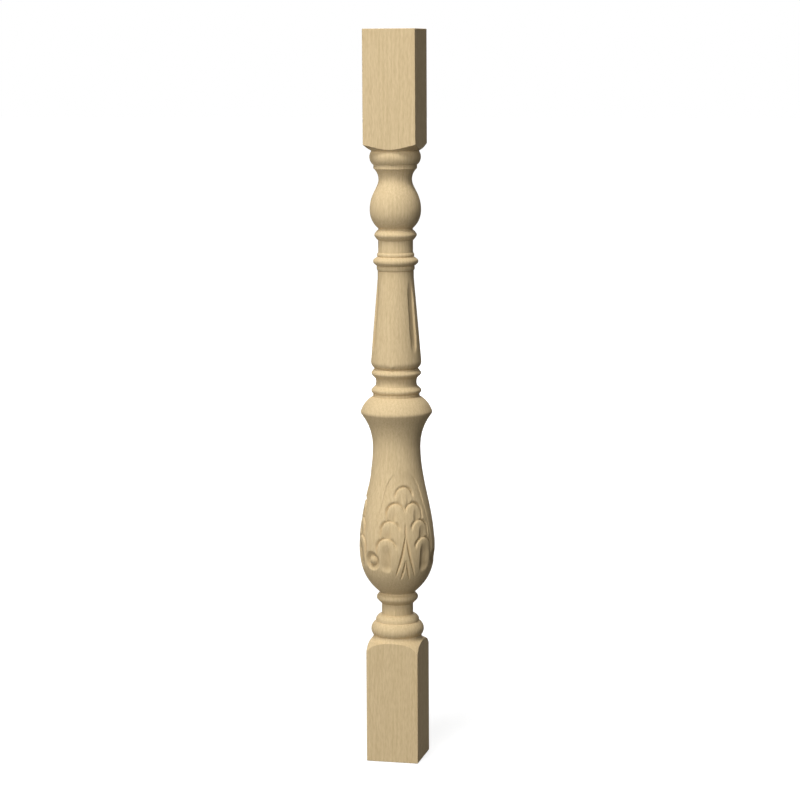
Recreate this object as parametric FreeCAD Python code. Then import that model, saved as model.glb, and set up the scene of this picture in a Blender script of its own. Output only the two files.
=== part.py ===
import FreeCAD, Part
import math
import os
from collections import namedtuple

# Stair baluster, turned and carved from one length of square wooden stock.
# The foot and the head stay square. From the foot up, the turning between them is a torus with a cap bead,
# a neck, a ring, a vase under a collar, two beads, a taper, two more beads, a ball and a top bead.
# Three leaves with an eye between each two are carved into the vase, and three flutes into the taper.
# Millimetres, +Z up, origin at the middle of the foot's underside, front face towards -Y.

# Square stock: flat lengths are measured along the arrises, up to the turned shoulders
STOCK_SIDE = 65.0
STOCK_CORNER_RADIUS = STOCK_SIDE / math.sqrt(2)
FOOT_FLAT_LENGTH = 138.0
FOOT_ROUND_RISE = 11.7
FOOT_ROUND_BULGE = 2.2
FOOT_HOLLOW_RADIUS = 33.0
FOOT_HOLLOW_RISE = 6.0
FOOT_HOLLOW_DEPTH = 0.8
HEAD_FLAT_LENGTH = 137.8
HEAD_SHOULDER_RISE = 8.3
HEAD_SHOULDER_HOLLOW = 0.8

# Torus on the foot block, with its cap bead and the neck above
FOOT_SEAT_RADIUS = 29.7
TORUS_RADIUS = 32.6
TORUS_CREST_RISE = 8.2
TORUS_HEIGHT = 17.2
TORUS_TOP_RADIUS = 27.1
CAP_BEAD_SEAT_RADIUS = 26.3
CAP_BEAD_RADIUS = 26.8
CAP_BEAD_CREST_RISE = 3.4
CAP_BEAD_HEIGHT = 9.1
LOWER_NECK_RADIUS = 19.4
LOWER_NECK_LENGTH = 13.6

# Ring that the vase stands on
RING_RADIUS = 25.6
RING_HEIGHT = 13.3
RING_TOP_RADIUS = 22.0
RING_CREASE_HEIGHT = 1.4

# Vase: a bowl up to the belly, then an ogee to the neck. A pull is how far a curve runs on along its end
BELLY_RADIUS = 46.6
BOWL_HEIGHT = 58.4
BOWL_FOOT_PULL_OUT = 13.5
BOWL_FOOT_PULL_UP = 11.7
BOWL_BELLY_PULL = 33.4
VASE_NECK_RADIUS = 29.3
VASE_OGEE_HEIGHT = 124.3
OGEE_BELLY_PULL = 43.4
OGEE_NECK_PULL = 45.6

# Collar over the vase: a cove, a nose and a round top
COLLAR_COVE_HEIGHT = 40.1
COLLAR_EDGE_RADIUS = 43.4
COLLAR_NOSE_RADIUS = 43.9
COLLAR_NOSE_HEIGHT = 4.4
COLLAR_TOP_RADIUS = 29.4
COLLAR_TOP_HEIGHT = 16.7
COLLAR_TOP_BULGE = 1.9

# Pair of beads with a hollow between them
PAIR_SEAT_RADIUS = 28.9
PAIR_SEAT_HEIGHT = 2.9
LOWER_BEAD_RADIUS = 30.7
LOWER_BEAD_CREST_RISE = 4.0
LOWER_BEAD_HEIGHT = 10.3
PAIR_HOLLOW_RADIUS = 25.9
PAIR_HOLLOW_WAIST = 24.9
PAIR_HOLLOW_HEIGHT = 9.9
UPPER_BEAD_RADIUS = 30.5
UPPER_BEAD_HEIGHT = 11.7
UPPER_BEAD_TOP_RADIUS = 26.3

# Taper
TAPER_FOOT_RADIUS = 31.0
TAPER_FOOT_HEIGHT = 7.5
TAPER_FOOT_BULGE = 1.0
TAPER_LENGTH = 103.2
TAPER_TOP_RADIUS = 22.1
TAPER_CREASE_HEIGHT = 9.8

# Fillet, bead and step above the taper, then the upper neck and its bead
FILLET_RADIUS = 23.2
FILLET_HEIGHT = 5.0
NECK_BEAD_SEAT_RADIUS = 24.1
NECK_BEAD_RADIUS = 27.6
NECK_BEAD_HEIGHT = 11.2
STEP_RADIUS = 22.7
STEP_HEIGHT = 5.1
UPPER_NECK_RADIUS = 21.3
UPPER_NECK_LENGTH = 14.6
BALL_BEAD_SEAT_RADIUS = 22.0
BALL_BEAD_RADIUS = 25.9
BALL_BEAD_HEIGHT = 14.5

# Ball with its ogee neck, and the cove, fillet and bead under the head block
BALL_SEAT_RADIUS = 21.9
BALL_RADIUS = 31.3
BALL_FOOT_HEIGHT = 22.9
BALL_FOOT_PULL_OUT = 6.0
BALL_FOOT_PULL_UP = 6.2
BALL_BELLY_PULL = 9.0
BALL_NECK_RADIUS = 20.4
BALL_OGEE_HEIGHT = 36.7
BALL_OGEE_BELLY_PULL = 19.5
BALL_OGEE_NECK_PULL = 10.1
TOP_COVE_RADIUS = 26.3
TOP_COVE_HEIGHT = 13.1
TOP_FILLET_RADIUS = 26.6
TOP_FILLET_HEIGHT = 5.0
TOP_BEAD_SEAT_RADIUS = 27.5
TOP_BEAD_RADIUS = 31.3
TOP_BEAD_CREST_RISE = 8.3
TOP_BEAD_HEIGHT = 16.3
HEAD_SEAT_RADIUS = 29.0

# Leaves on the vase: turns are degrees from the leaf's own middle, rises are heights above the vase's foot
LEAF_COUNT = 3
LEAF_TURN = 27.0
GROUND_DEPTH = 0.7
GROUND_APEX_RISE = 155.0
GROUND_SIDE_RISE = 105.5
GROUND_SIDE_TURN = 46.0
GROUND_ARCH_BULGE = 3.0
GROUND_FOOT_RISE = 52.5
GROUND_FOOT_TURN = 54.0
GROUND_OVERLAP_TURN = 12.0
LOBE_DOME_RISE = 7.5
LOBE_FOOT_RISE = 24.0
STOP_CUT_DEPTH = 1.8
STOP_CUT_WIDTH = 4.5
STOP_CUT_TILT = 5.0
Lobe = namedtuple("Lobe", "turn crest_rise half_width scoop_turn scoop_top_rise scoop_foot_rise "
                          "scoop_radius scoop_depth")
LOBES = (
    Lobe(turn=0.0, crest_rise=135.0, half_width=10.3,
         scoop_turn=7.0, scoop_top_rise=119.0, scoop_foot_rise=109.0, scoop_radius=6.0, scoop_depth=1.0),
    Lobe(turn=16.7, crest_rise=115.5, half_width=10.2,
         scoop_turn=22.5, scoop_top_rise=102.0, scoop_foot_rise=85.0, scoop_radius=11.0, scoop_depth=2.0),
    Lobe(turn=25.7, crest_rise=94.5, half_width=11.0,
         scoop_turn=30.5, scoop_top_rise=82.0, scoop_foot_rise=65.0, scoop_radius=12.0, scoop_depth=2.3),
    Lobe(turn=31.5, crest_rise=73.0, half_width=12.0,
         scoop_turn=31.5, scoop_top_rise=59.5, scoop_foot_rise=38.5, scoop_radius=12.0, scoop_depth=2.7),
)

# Grooves of the leaf's midrib: a stem that parts into two branches, with two veins between them
GROOVE_DEPTH = 1.5
Groove = namedtuple("Groove", "width top_turn top_rise mid_turn mid_rise foot_turn foot_rise")
STEM = Groove(width=2.4, top_turn=0.0, top_rise=93.0,
              mid_turn=0.0, mid_rise=81.0, foot_turn=0.0, foot_rise=68.0)
BRANCHES = (
    Groove(width=3.4, top_turn=0.8, top_rise=73.0,
           mid_turn=6.5, mid_rise=49.5, foot_turn=17.0, foot_rise=26.5),
    Groove(width=2.8, top_turn=0.6, top_rise=47.0,
           mid_turn=3.4, mid_rise=34.5, foot_turn=8.2, foot_rise=22.5),
)

# Eyes between the leaves, each a little past the middle: a round hollow with a bead standing in it
EYE_TURN = 63.5
EYE_RISE = 45.0
EYE_CUTTER_RADIUS = 17.0
EYE_DEPTH = 4.4
EYE_BEAD_RADIUS = 10.0
EYE_BEAD_SINK = 1.4

# Flutes on the taper, and the pointed tips at its foot midway between them
FLUTE_COUNT = 3
FLUTE_TURN = 62.0
FLUTE_FOOT_RISE = 13.0
FLUTE_LENGTH = 87.0
FLUTE_DEPTH = 2.2
FLUTE_CUTTER_RADIUS = 9.0
FLUTE_END_LENGTH = 18.0
FLUTE_CUTTER_RUN_OUT = 4.0
TIP_RISE = 0.8
TIP_LENGTH = 6.5
TIP_WIDTH = 5.0
TIP_SINK = 2.2

# How far cutters reach past the surface that they cut
CUTTER_REACH = 20.0


def on_section(radius, height):
    """Point of the half section, which is drawn to the right of the axis."""
    return FreeCAD.Vector(radius, 0, height)


class TurnedOutline:
    """Half section of the turning, drawn from the foot up as one chain of edges."""

    def __init__(self, radius, height):
        self.radius = radius
        self.height = height
        self.edges = []

    def here(self):
        return on_section(self.radius, self.height)

    def add(self, curve, radius, height):
        self.edges.append(curve.toShape())
        self.radius = radius
        self.height = height

    def slope(self, radius, length):
        height = self.height + length
        self.add(Part.LineSegment(self.here(), on_section(radius, height)), radius, height)

    def step(self, radius):
        if radius != self.radius:
            self.slope(radius, 0.0)

    def rise(self, length):
        self.slope(self.radius, length)

    def bead(self, crest_radius, crest_rise, radius, length):
        """Arc through a crest, or through a waist where the crest lies inside the ends."""
        height = self.height + length
        crest = on_section(crest_radius, self.height + crest_rise)
        self.add(Part.Arc(self.here(), crest, on_section(radius, height)), radius, height)

    def bulged(self, radius, length, bulge):
        """Arc that stands out from its chord by the bulge, or is hollowed by a negative one."""
        start = self.here()
        end = on_section(radius, self.height + length)
        chord = end - start
        outward = FreeCAD.Vector(chord.z, 0, -chord.x).normalize()
        middle = start + chord * 0.5 + outward * bulge
        self.add(Part.Arc(start, middle, end), end.x, end.z)

    def cove(self, radius, length):
        """Hollow arc that leaves the neck upright and flares to the radius."""
        flare = radius - self.radius
        sweep = (flare ** 2 + length ** 2) / (2 * flare)
        half_turn = 0.5 * math.asin(length / sweep)
        via = on_section(self.radius + sweep * (1 - math.cos(half_turn)),
                         self.height + sweep * math.sin(half_turn))
        end = on_section(radius, self.height + length)
        self.add(Part.Arc(self.here(), via, end), end.x, end.z)

    def swell(self, radius, length, pull_out, pull_up, end_pull):
        """Curve that leaves its seat outwards and comes upright at the belly."""
        end = on_section(radius, self.height + length)
        leave = self.here() + on_section(pull_out, pull_up)
        self.add(bezier(self.here(), leave, end - on_section(0, end_pull), end), end.x, end.z)

    def ogee(self, radius, length, start_pull, end_pull):
        """Double curve from an upright belly to an upright neck."""
        end = on_section(radius, self.height + length)
        leave = self.here() + on_section(0, start_pull)
        self.add(bezier(self.here(), leave, end - on_section(0, end_pull), end), end.x, end.z)

    def turned(self):
        """Solid that the outline sweeps about the axis."""
        return turn_section(self.edges)


def bezier(*poles):
    curve = Part.BezierCurve()
    curve.setPoles(list(poles))
    return curve


def turn_section(edges):
    """Close a chain of section edges along the axis and turn it into a solid."""
    start = edges[0].valueAt(edges[0].FirstParameter)
    end = edges[-1].valueAt(edges[-1].LastParameter)
    foot = on_section(0, start.z)
    top = on_section(0, end.z)
    closing = [Part.makeLine(end, top), Part.makeLine(top, foot), Part.makeLine(foot, start)]
    section = Part.Face(Part.Wire(edges + closing))
    return section.revolve(FreeCAD.Vector(0, 0, 0), FreeCAD.Vector(0, 0, 1), 360)


def around(shapes, count, first_turn):
    """Copies of shapes built at the front, spaced evenly about the axis."""
    copies = []
    for index in range(count):
        for shape in shapes:
            copies.append(turned_by(shape, first_turn + index * 360.0 / count))
    return copies


def turned_by(shape, turn):
    copy = shape.copy()
    copy.rotate(FreeCAD.Vector(0, 0, 0), FreeCAD.Vector(0, 0, 1), turn)
    return copy


def square_block(shoulder_edges, z_low, z_high):
    """Length of square stock, with the shoulder that the turning cuts across one end."""
    half = STOCK_SIDE / 2
    stock = Part.makeBox(STOCK_SIDE, STOCK_SIDE, z_high - z_low, FreeCAD.Vector(-half, -half, z_low))
    return stock.common(turn_section(shoulder_edges))


def foot_block():
    outline = TurnedOutline(STOCK_CORNER_RADIUS, 0.0)
    outline.rise(FOOT_FLAT_LENGTH)
    outline.bulged(FOOT_HOLLOW_RADIUS, FOOT_ROUND_RISE, FOOT_ROUND_BULGE)
    outline.bulged(FOOT_SEAT_RADIUS, FOOT_HOLLOW_RISE, -FOOT_HOLLOW_DEPTH)
    return square_block(outline.edges, 0.0, outline.height)


def head_block(z_seat):
    outline = TurnedOutline(HEAD_SEAT_RADIUS, z_seat)
    outline.bulged(STOCK_CORNER_RADIUS, HEAD_SHOULDER_RISE, -HEAD_SHOULDER_HOLLOW)
    outline.rise(HEAD_FLAT_LENGTH)
    return square_block(outline.edges, z_seat, outline.height)


def draw_lower_turning(outline):
    outline.bead(TORUS_RADIUS, TORUS_CREST_RISE, TORUS_TOP_RADIUS, TORUS_HEIGHT)
    outline.step(CAP_BEAD_SEAT_RADIUS)
    outline.bead(CAP_BEAD_RADIUS, CAP_BEAD_CREST_RISE, LOWER_NECK_RADIUS, CAP_BEAD_HEIGHT)
    outline.rise(LOWER_NECK_LENGTH)
    outline.bead(RING_RADIUS, RING_HEIGHT / 2, RING_TOP_RADIUS, RING_HEIGHT)
    outline.rise(RING_CREASE_HEIGHT)


def draw_vase(outline):
    outline.swell(BELLY_RADIUS, BOWL_HEIGHT, BOWL_FOOT_PULL_OUT, BOWL_FOOT_PULL_UP, BOWL_BELLY_PULL)
    outline.ogee(VASE_NECK_RADIUS, VASE_OGEE_HEIGHT, OGEE_BELLY_PULL, OGEE_NECK_PULL)


def draw_collar_and_beads(outline):
    outline.cove(COLLAR_EDGE_RADIUS, COLLAR_COVE_HEIGHT)
    outline.bead(COLLAR_NOSE_RADIUS, COLLAR_NOSE_HEIGHT / 2, COLLAR_EDGE_RADIUS, COLLAR_NOSE_HEIGHT)
    outline.bulged(COLLAR_TOP_RADIUS, COLLAR_TOP_HEIGHT, COLLAR_TOP_BULGE)
    outline.step(PAIR_SEAT_RADIUS)
    outline.rise(PAIR_SEAT_HEIGHT)
    outline.bead(LOWER_BEAD_RADIUS, LOWER_BEAD_CREST_RISE, PAIR_HOLLOW_RADIUS, LOWER_BEAD_HEIGHT)
    outline.bead(PAIR_HOLLOW_WAIST, PAIR_HOLLOW_HEIGHT / 2, PAIR_HOLLOW_RADIUS, PAIR_HOLLOW_HEIGHT)
    outline.bead(UPPER_BEAD_RADIUS, UPPER_BEAD_HEIGHT / 2, UPPER_BEAD_TOP_RADIUS, UPPER_BEAD_HEIGHT)


def draw_taper(outline):
    outline.bulged(TAPER_FOOT_RADIUS, TAPER_FOOT_HEIGHT, TAPER_FOOT_BULGE)
    outline.slope(TAPER_TOP_RADIUS, TAPER_LENGTH)
    outline.rise(TAPER_CREASE_HEIGHT)


def draw_upper_turning(outline):
    outline.step(FILLET_RADIUS)
    outline.rise(FILLET_HEIGHT)
    outline.step(NECK_BEAD_SEAT_RADIUS)
    outline.bead(NECK_BEAD_RADIUS, NECK_BEAD_HEIGHT / 2, STEP_RADIUS, NECK_BEAD_HEIGHT)
    outline.rise(STEP_HEIGHT)
    outline.step(UPPER_NECK_RADIUS)
    outline.rise(UPPER_NECK_LENGTH)
    outline.step(BALL_BEAD_SEAT_RADIUS)
    outline.bead(BALL_BEAD_RADIUS, BALL_BEAD_HEIGHT / 2, BALL_SEAT_RADIUS, BALL_BEAD_HEIGHT)
    outline.swell(BALL_RADIUS, BALL_FOOT_HEIGHT, BALL_FOOT_PULL_OUT, BALL_FOOT_PULL_UP, BALL_BELLY_PULL)
    outline.ogee(BALL_NECK_RADIUS, BALL_OGEE_HEIGHT, BALL_OGEE_BELLY_PULL, BALL_OGEE_NECK_PULL)
    outline.cove(TOP_COVE_RADIUS, TOP_COVE_HEIGHT)
    outline.step(TOP_FILLET_RADIUS)
    outline.rise(TOP_FILLET_HEIGHT)
    outline.step(TOP_BEAD_SEAT_RADIUS)
    outline.bead(TOP_BEAD_RADIUS, TOP_BEAD_CREST_RISE, HEAD_SEAT_RADIUS, TOP_BEAD_HEIGHT)


class Vase:
    """Turned surface that the leaves are cut into, with heights given as rises above its foot."""

    def __init__(self, z_foot):
        self.z_foot = z_foot
        outline = TurnedOutline(RING_TOP_RADIUS, z_foot)
        draw_vase(outline)
        self.edges = outline.edges

    def radius(self, rise):
        """Radius at a height, found by halving along the bowl or the ogee."""
        edge = self.edges[0] if rise < BOWL_HEIGHT else self.edges[1]
        low = edge.FirstParameter
        high = edge.LastParameter
        while high - low > 1e-7:
            middle = 0.5 * (low + high)
            if edge.valueAt(middle).z < self.z_foot + rise:
                low = middle
            else:
                high = middle
        return edge.valueAt(low).x

    def lean(self, rise):
        """Angle in degrees by which the surface leans back from upright at a height."""
        return math.degrees(math.atan2(self.radius(rise - 1.0) - self.radius(rise + 1.0), 2.0))

    def core(self, depth=0.0):
        """Solid inside the surface, or inside one that lies deeper, as spline faces that trim lightly."""
        sunk = []
        for edge in self.edges:
            copy = edge.copy()
            copy.translate(FreeCAD.Vector(-depth, 0, 0))
            sunk.append(copy)
        return turn_section(sunk).toNurbs()

    def point(self, turn, rise, facing=0.0):
        """Point of the surface, seen square on from the facing direction."""
        across = self.radius(rise) * math.sin(math.radians(turn - facing))
        return FreeCAD.Vector(across, 0, self.z_foot + rise)


def outward_prism(edges, facing=0.0):
    """Prism from the axis out past the vase, square to the facing direction."""
    face = Part.Face(Part.Wire(edges))
    return turned_by(face.extrude(FreeCAD.Vector(0, -BELLY_RADIUS - CUTTER_REACH, 0)), facing)


def lobe_prism(vase, lobe, side):
    """Everything within one lobe's outline: a domed top on straight sides."""
    z_crest = vase.z_foot + lobe.crest_rise
    z_spring = z_crest - LOBE_DOME_RISE
    z_foot = vase.z_foot + LOBE_FOOT_RISE
    left_foot = FreeCAD.Vector(-lobe.half_width, 0, z_foot)
    left_spring = FreeCAD.Vector(-lobe.half_width, 0, z_spring)
    right_spring = FreeCAD.Vector(lobe.half_width, 0, z_spring)
    right_foot = FreeCAD.Vector(lobe.half_width, 0, z_foot)
    edges = [
        Part.makeLine(left_foot, left_spring),
        Part.Arc(left_spring, FreeCAD.Vector(0, 0, z_crest), right_spring).toShape(),
        Part.makeLine(right_spring, right_foot),
        Part.makeLine(right_foot, left_foot),
    ]
    return outward_prism(edges, side * lobe.turn)


def stop_cut(vase, lobe, side):
    """Sloping cut round a lobe's dome, square to the surface at the crest.

    It is deepest where it meets the lobe, and in a pair of lobes it tilts to run out towards the leaf's middle.
    """
    dome_radius = (lobe.half_width ** 2 + LOBE_DOME_RISE ** 2) / (2 * LOBE_DOME_RISE)
    mouth_radius = dome_radius + CUTTER_REACH * STOP_CUT_WIDTH / STOP_CUT_DEPTH
    floor_middle = FreeCAD.Vector(0, STOP_CUT_DEPTH, -dome_radius)
    cone = Part.makeCone(dome_radius, mouth_radius, CUTTER_REACH, floor_middle, FreeCAD.Vector(0, -1, 0))
    cone.rotate(FreeCAD.Vector(), FreeCAD.Vector(1, 0, 0), -vase.lean(lobe.crest_rise))
    if lobe.turn:
        cone.rotate(FreeCAD.Vector(), FreeCAD.Vector(0, 0, 1), side * STOP_CUT_TILT)
    cone.translate(FreeCAD.Vector(0, -vase.radius(lobe.crest_rise), vase.z_foot + lobe.crest_rise))
    return turned_by(cone, side * lobe.turn)


def tier_sides(lobe):
    """The top lobe stands alone, the others in pairs."""
    return (1, -1) if lobe.turn else (1,)


def scoop(vase, lobe, side):
    """Hollow of one lobe: a round-nosed cutter drawn down along the surface."""
    ends = []
    for rise in (lobe.scoop_top_rise, lobe.scoop_foot_rise):
        reach = vase.radius(rise) + lobe.scoop_radius - lobe.scoop_depth
        ends.append(FreeCAD.Vector(0, -reach, vase.z_foot + rise))
    run = ends[1] - ends[0]
    cutter = Part.makeCylinder(lobe.scoop_radius, run.Length, ends[0], run)
    cutter = cutter.fuse([Part.makeSphere(lobe.scoop_radius, end) for end in ends])
    return turned_by(cutter, side * lobe.scoop_turn)


def leaf_ground(vase, side):
    """Half of the pointed field round a leaf, from just past the leaf's middle to the field's own edge."""
    facing = side * GROUND_SIDE_TURN
    apex = vase.point(0, GROUND_APEX_RISE, facing)
    shoulder = vase.point(side * GROUND_SIDE_TURN, GROUND_SIDE_RISE, facing)
    foot = vase.point(side * GROUND_FOOT_TURN, GROUND_FOOT_RISE, facing)
    inner_foot = vase.point(-side * GROUND_OVERLAP_TURN, GROUND_FOOT_RISE, facing)
    chord = shoulder - apex
    outward = FreeCAD.Vector(-chord.z * side, 0, chord.x * side).normalize()
    arch = Part.Arc(apex, apex + chord * 0.5 + outward * GROUND_ARCH_BULGE, shoulder).toShape()
    edges = [
        arch,
        Part.makeLine(shoulder, foot),
        Part.makeLine(foot, inner_foot),
        Part.makeLine(inner_foot, apex),
    ]
    return outward_prism(edges, facing).cut(vase.core(GROUND_DEPTH))


def groove_prism(vase, groove, side):
    """Blade-shaped cut, pointed at both ends."""
    top = vase.point(side * groove.top_turn, groove.top_rise)
    middle = vase.point(side * groove.mid_turn, groove.mid_rise)
    foot = vase.point(side * groove.foot_turn, groove.foot_rise)
    run = foot - top
    across = FreeCAD.Vector(-run.z, 0, run.x).normalize() * (groove.width / 2)
    edges = [
        Part.Arc(top, middle + across, foot).toShape(),
        Part.Arc(foot, middle - across, top).toShape(),
    ]
    return outward_prism(edges).cut(vase.core(GROOVE_DEPTH))


def eye_cutter(vase):
    """Hollow of one eye, with its bead left standing."""
    surface = FreeCAD.Vector(0, -vase.radius(EYE_RISE), vase.z_foot + EYE_RISE)
    hollow_middle = surface - FreeCAD.Vector(0, EYE_CUTTER_RADIUS - EYE_DEPTH, 0)
    bead_middle = surface + FreeCAD.Vector(0, EYE_BEAD_RADIUS + EYE_BEAD_SINK, 0)
    hollow = Part.makeSphere(EYE_CUTTER_RADIUS, hollow_middle)
    return hollow.cut(Part.makeSphere(EYE_BEAD_RADIUS, bead_middle))


def leaf_cutters(vase):
    """All cuts of one leaf, in the carver's order: its sunk field, then each tier of lobes, then the midrib.

    A lower lobe lies over the one above it, so each cut spares the lobes below its own.
    """
    tiers = [[lobe_prism(vase, lobe, side) for side in tier_sides(lobe)] for lobe in LOBES]
    field = leaf_ground(vase, 1).fuse(leaf_ground(vase, -1))
    cutters = [[spare(field, tiers)]]
    for index, lobe in enumerate(LOBES):
        for side in tier_sides(lobe):
            cutters.append([spare(stop_cut(vase, lobe, side), tiers[index:])])
        cutters.append([spare(scoop(vase, lobe, side), tiers[index + 1:]) for side in (1, -1)])
    cutters.append([groove_prism(vase, STEM, 1)])
    for groove in BRANCHES:
        cutters.append([groove_prism(vase, groove, side) for side in (1, -1)])
    return cutters


def spare(cutter, tiers):
    """Cutter without what lies over the given tiers of lobes."""
    prisms = [prism for tier in tiers for prism in tier]
    return cutter.cut(prisms) if prisms else cutter


def flute_cutter(z_foot):
    """Round bar, straight in the middle, that curves away from the taper's surface at both ends of the flute."""
    lean = math.atan2(TAPER_FOOT_RADIUS - TAPER_TOP_RADIUS, TAPER_LENGTH)
    half = FLUTE_LENGTH / 2
    straight_half = half - FLUTE_END_LENGTH
    end_length = FLUTE_END_LENGTH + FLUTE_CUTTER_RUN_OUT
    end_drop = FLUTE_DEPTH * (end_length / FLUTE_END_LENGTH) ** 2
    end_radius = FLUTE_CUTTER_RADIUS - end_drop
    outline = TurnedOutline(end_radius, -straight_half - end_length)
    outline.bulged(FLUTE_CUTTER_RADIUS, end_length, end_drop / 4)
    outline.rise(2 * straight_half)
    outline.bulged(end_radius, end_length, end_drop / 4)
    bar = outline.turned().toNurbs()
    middle_rise = FLUTE_FOOT_RISE + half * math.cos(lean)
    radius = TAPER_FOOT_RADIUS - middle_rise * math.tan(lean)
    bar.rotate(FreeCAD.Vector(0, 0, 0), FreeCAD.Vector(1, 0, 0), -math.degrees(lean))
    bar.translate(FreeCAD.Vector(0, -radius - FLUTE_CUTTER_RADIUS + FLUTE_DEPTH, z_foot + middle_rise))
    return bar


def petal_tip(z_foot):
    """Small drop that hangs from the taper over the bead below it."""
    place = FreeCAD.Vector(0, -TAPER_FOOT_RADIUS + TIP_SINK, z_foot + TIP_RISE)
    return Part.makeCone(0, TIP_WIDTH / 2, TIP_LENGTH, place)


def carved_vase(vase):
    carved = vase.core()
    for cutters in leaf_cutters(vase):
        carved = carved.cut(around(cutters, LEAF_COUNT, LEAF_TURN))
    return carved.cut(around([eye_cutter(vase)], LEAF_COUNT, LEAF_TURN + EYE_TURN))


lower_turning = TurnedOutline(FOOT_SEAT_RADIUS, FOOT_FLAT_LENGTH + FOOT_ROUND_RISE + FOOT_HOLLOW_RISE)
draw_lower_turning(lower_turning)
vase = Vase(lower_turning.height)
upper_turning = TurnedOutline(VASE_NECK_RADIUS, vase.z_foot + BOWL_HEIGHT + VASE_OGEE_HEIGHT)
draw_collar_and_beads(upper_turning)
z_taper = upper_turning.height
draw_taper(upper_turning)
draw_upper_turning(upper_turning)

flutes = around([flute_cutter(z_taper + TAPER_FOOT_HEIGHT)], FLUTE_COUNT, FLUTE_TURN)
tips = around([petal_tip(z_taper)], FLUTE_COUNT, FLUTE_TURN + 180.0 / FLUTE_COUNT)
upper = upper_turning.turned().fuse(tips).cut(flutes)
head = head_block(upper_turning.height)
baluster = foot_block().fuse([lower_turning.turned(), carved_vase(vase), upper, head])
baluster = baluster.removeSplitter().Solids[0]

os.makedirs("parts", exist_ok=True)
baluster.exportStep("parts/baluster.step")
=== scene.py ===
import math
from collections import namedtuple

import bpy
import numpy as np
from mathutils import Matrix, Vector


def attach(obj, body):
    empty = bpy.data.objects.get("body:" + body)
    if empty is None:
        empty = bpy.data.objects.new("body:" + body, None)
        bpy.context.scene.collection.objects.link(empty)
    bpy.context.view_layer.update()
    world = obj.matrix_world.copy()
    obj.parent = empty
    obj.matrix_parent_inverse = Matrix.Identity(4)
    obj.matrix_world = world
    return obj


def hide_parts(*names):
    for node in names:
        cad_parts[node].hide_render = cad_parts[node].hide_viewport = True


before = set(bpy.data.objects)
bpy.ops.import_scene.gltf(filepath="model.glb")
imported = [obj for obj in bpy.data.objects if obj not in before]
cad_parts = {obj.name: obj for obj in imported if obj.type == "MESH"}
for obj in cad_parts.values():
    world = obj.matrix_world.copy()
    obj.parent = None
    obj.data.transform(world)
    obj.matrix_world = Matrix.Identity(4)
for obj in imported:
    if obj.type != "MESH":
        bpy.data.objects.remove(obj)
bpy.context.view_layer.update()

# The foot.
# The lowest stretch of the square stock, left as it was planed, with its arrises just eased by sandpaper.
# Where the turning starts, the lathe tool rounded the shoulder over the corners and hollowed it at the seat.
mm = 0.001
STOCK_SIDE = 65 * mm
ARRIS_RADIUS = 0.8 * mm
ARRIS_COLUMNS = 5
FACE_COLUMNS = 14
END_EASING = 0.6 * mm
SHOULDER_ROWS = 17
FOOT_FLAT_LENGTH = 138 * mm
FOOT_ROUND_RISE = 11.7 * mm
FOOT_ROUND_BULGE = 2.2 * mm
FOOT_HOLLOW_RADIUS = 33 * mm
FOOT_HOLLOW_RISE = 6 * mm
FOOT_HOLLOW_DEPTH = 0.8 * mm
FOOT_SEAT_RADIUS = 29.7 * mm

Ring = namedtuple("Ring", "turns radii heights cuts")
rings = []


def add_ring(turns, radii, heights, cuts=0.0):
    """Next ring up the baluster: turns are angles from the front face, cuts are depths of carving."""
    spread = np.zeros(len(turns))
    rings.append(Ring(turns, spread + radii, spread + heights, spread + cuts))


def three_point_arc(start, via, end):
    """Points of the arc from start through via to end, about one for each 9 degrees, without the start."""
    (ax, ay), (bx, by), (cx, cy) = start, via, end
    twice = 2 * (ax * (by - cy) + bx * (cy - ay) + cx * (ay - by))
    a, b, c = ax * ax + ay * ay, bx * bx + by * by, cx * cx + cy * cy
    middle_x = (a * (by - cy) + b * (cy - ay) + c * (ay - by)) / twice
    middle_y = (a * (cx - bx) + b * (ax - cx) + c * (bx - ax)) / twice
    radius = math.hypot(ax - middle_x, ay - middle_y)
    first = math.atan2(ay - middle_y, ax - middle_x)
    to_via = math.remainder(math.atan2(by - middle_y, bx - middle_x) - first, math.tau)
    to_end = to_via + math.remainder(
        math.atan2(cy - middle_y, cx - middle_x) - math.atan2(by - middle_y, bx - middle_x), math.tau)
    steps = max(3, math.ceil(abs(to_end) / math.radians(9)))
    angles = first + np.linspace(0, to_end, steps + 1)[1:]
    return np.column_stack([middle_x + radius * np.cos(angles), middle_y + radius * np.sin(angles)])


def bulged_arc(start, end, bulge):
    """Arc that stands out from its chord by the bulge, or is hollowed by a negative one."""
    chord = np.subtract(end, start)
    outward = np.array([chord[1], -chord[0]]) / np.hypot(*chord)
    return three_point_arc(start, np.add(start, chord / 2) + outward * bulge, end)


def square_columns():
    """Angles of the columns round the square stock, closer together at the four arrises."""
    half = STOCK_SIDE / 2
    flat_end = math.atan2(half - ARRIS_RADIUS, half)
    face = np.linspace(-flat_end, flat_end, FACE_COLUMNS)
    arris = np.linspace(flat_end, math.pi / 2 - flat_end, ARRIS_COLUMNS + 1)[1:-1]
    quarter = np.concatenate([face, arris])
    return np.concatenate([quarter + side * math.pi / 2 for side in range(4)])


def square_radius(turns, inset=0.0):
    """Distance from the axis to the stock's surface, with the arrises rounded."""
    half = STOCK_SIDE / 2 - inset
    bend = half - ARRIS_RADIUS
    off_face = np.abs(np.remainder(turns + math.pi / 4, math.pi / 2) - math.pi / 4)
    flat = half / np.cos(off_face)
    along = bend * (np.cos(off_face) + np.sin(off_face))
    rounded = along + np.sqrt(np.maximum(along ** 2 - 2 * bend ** 2 + ARRIS_RADIUS ** 2, 0))
    return np.where(half * np.tan(off_face) > bend, rounded, flat)


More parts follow.
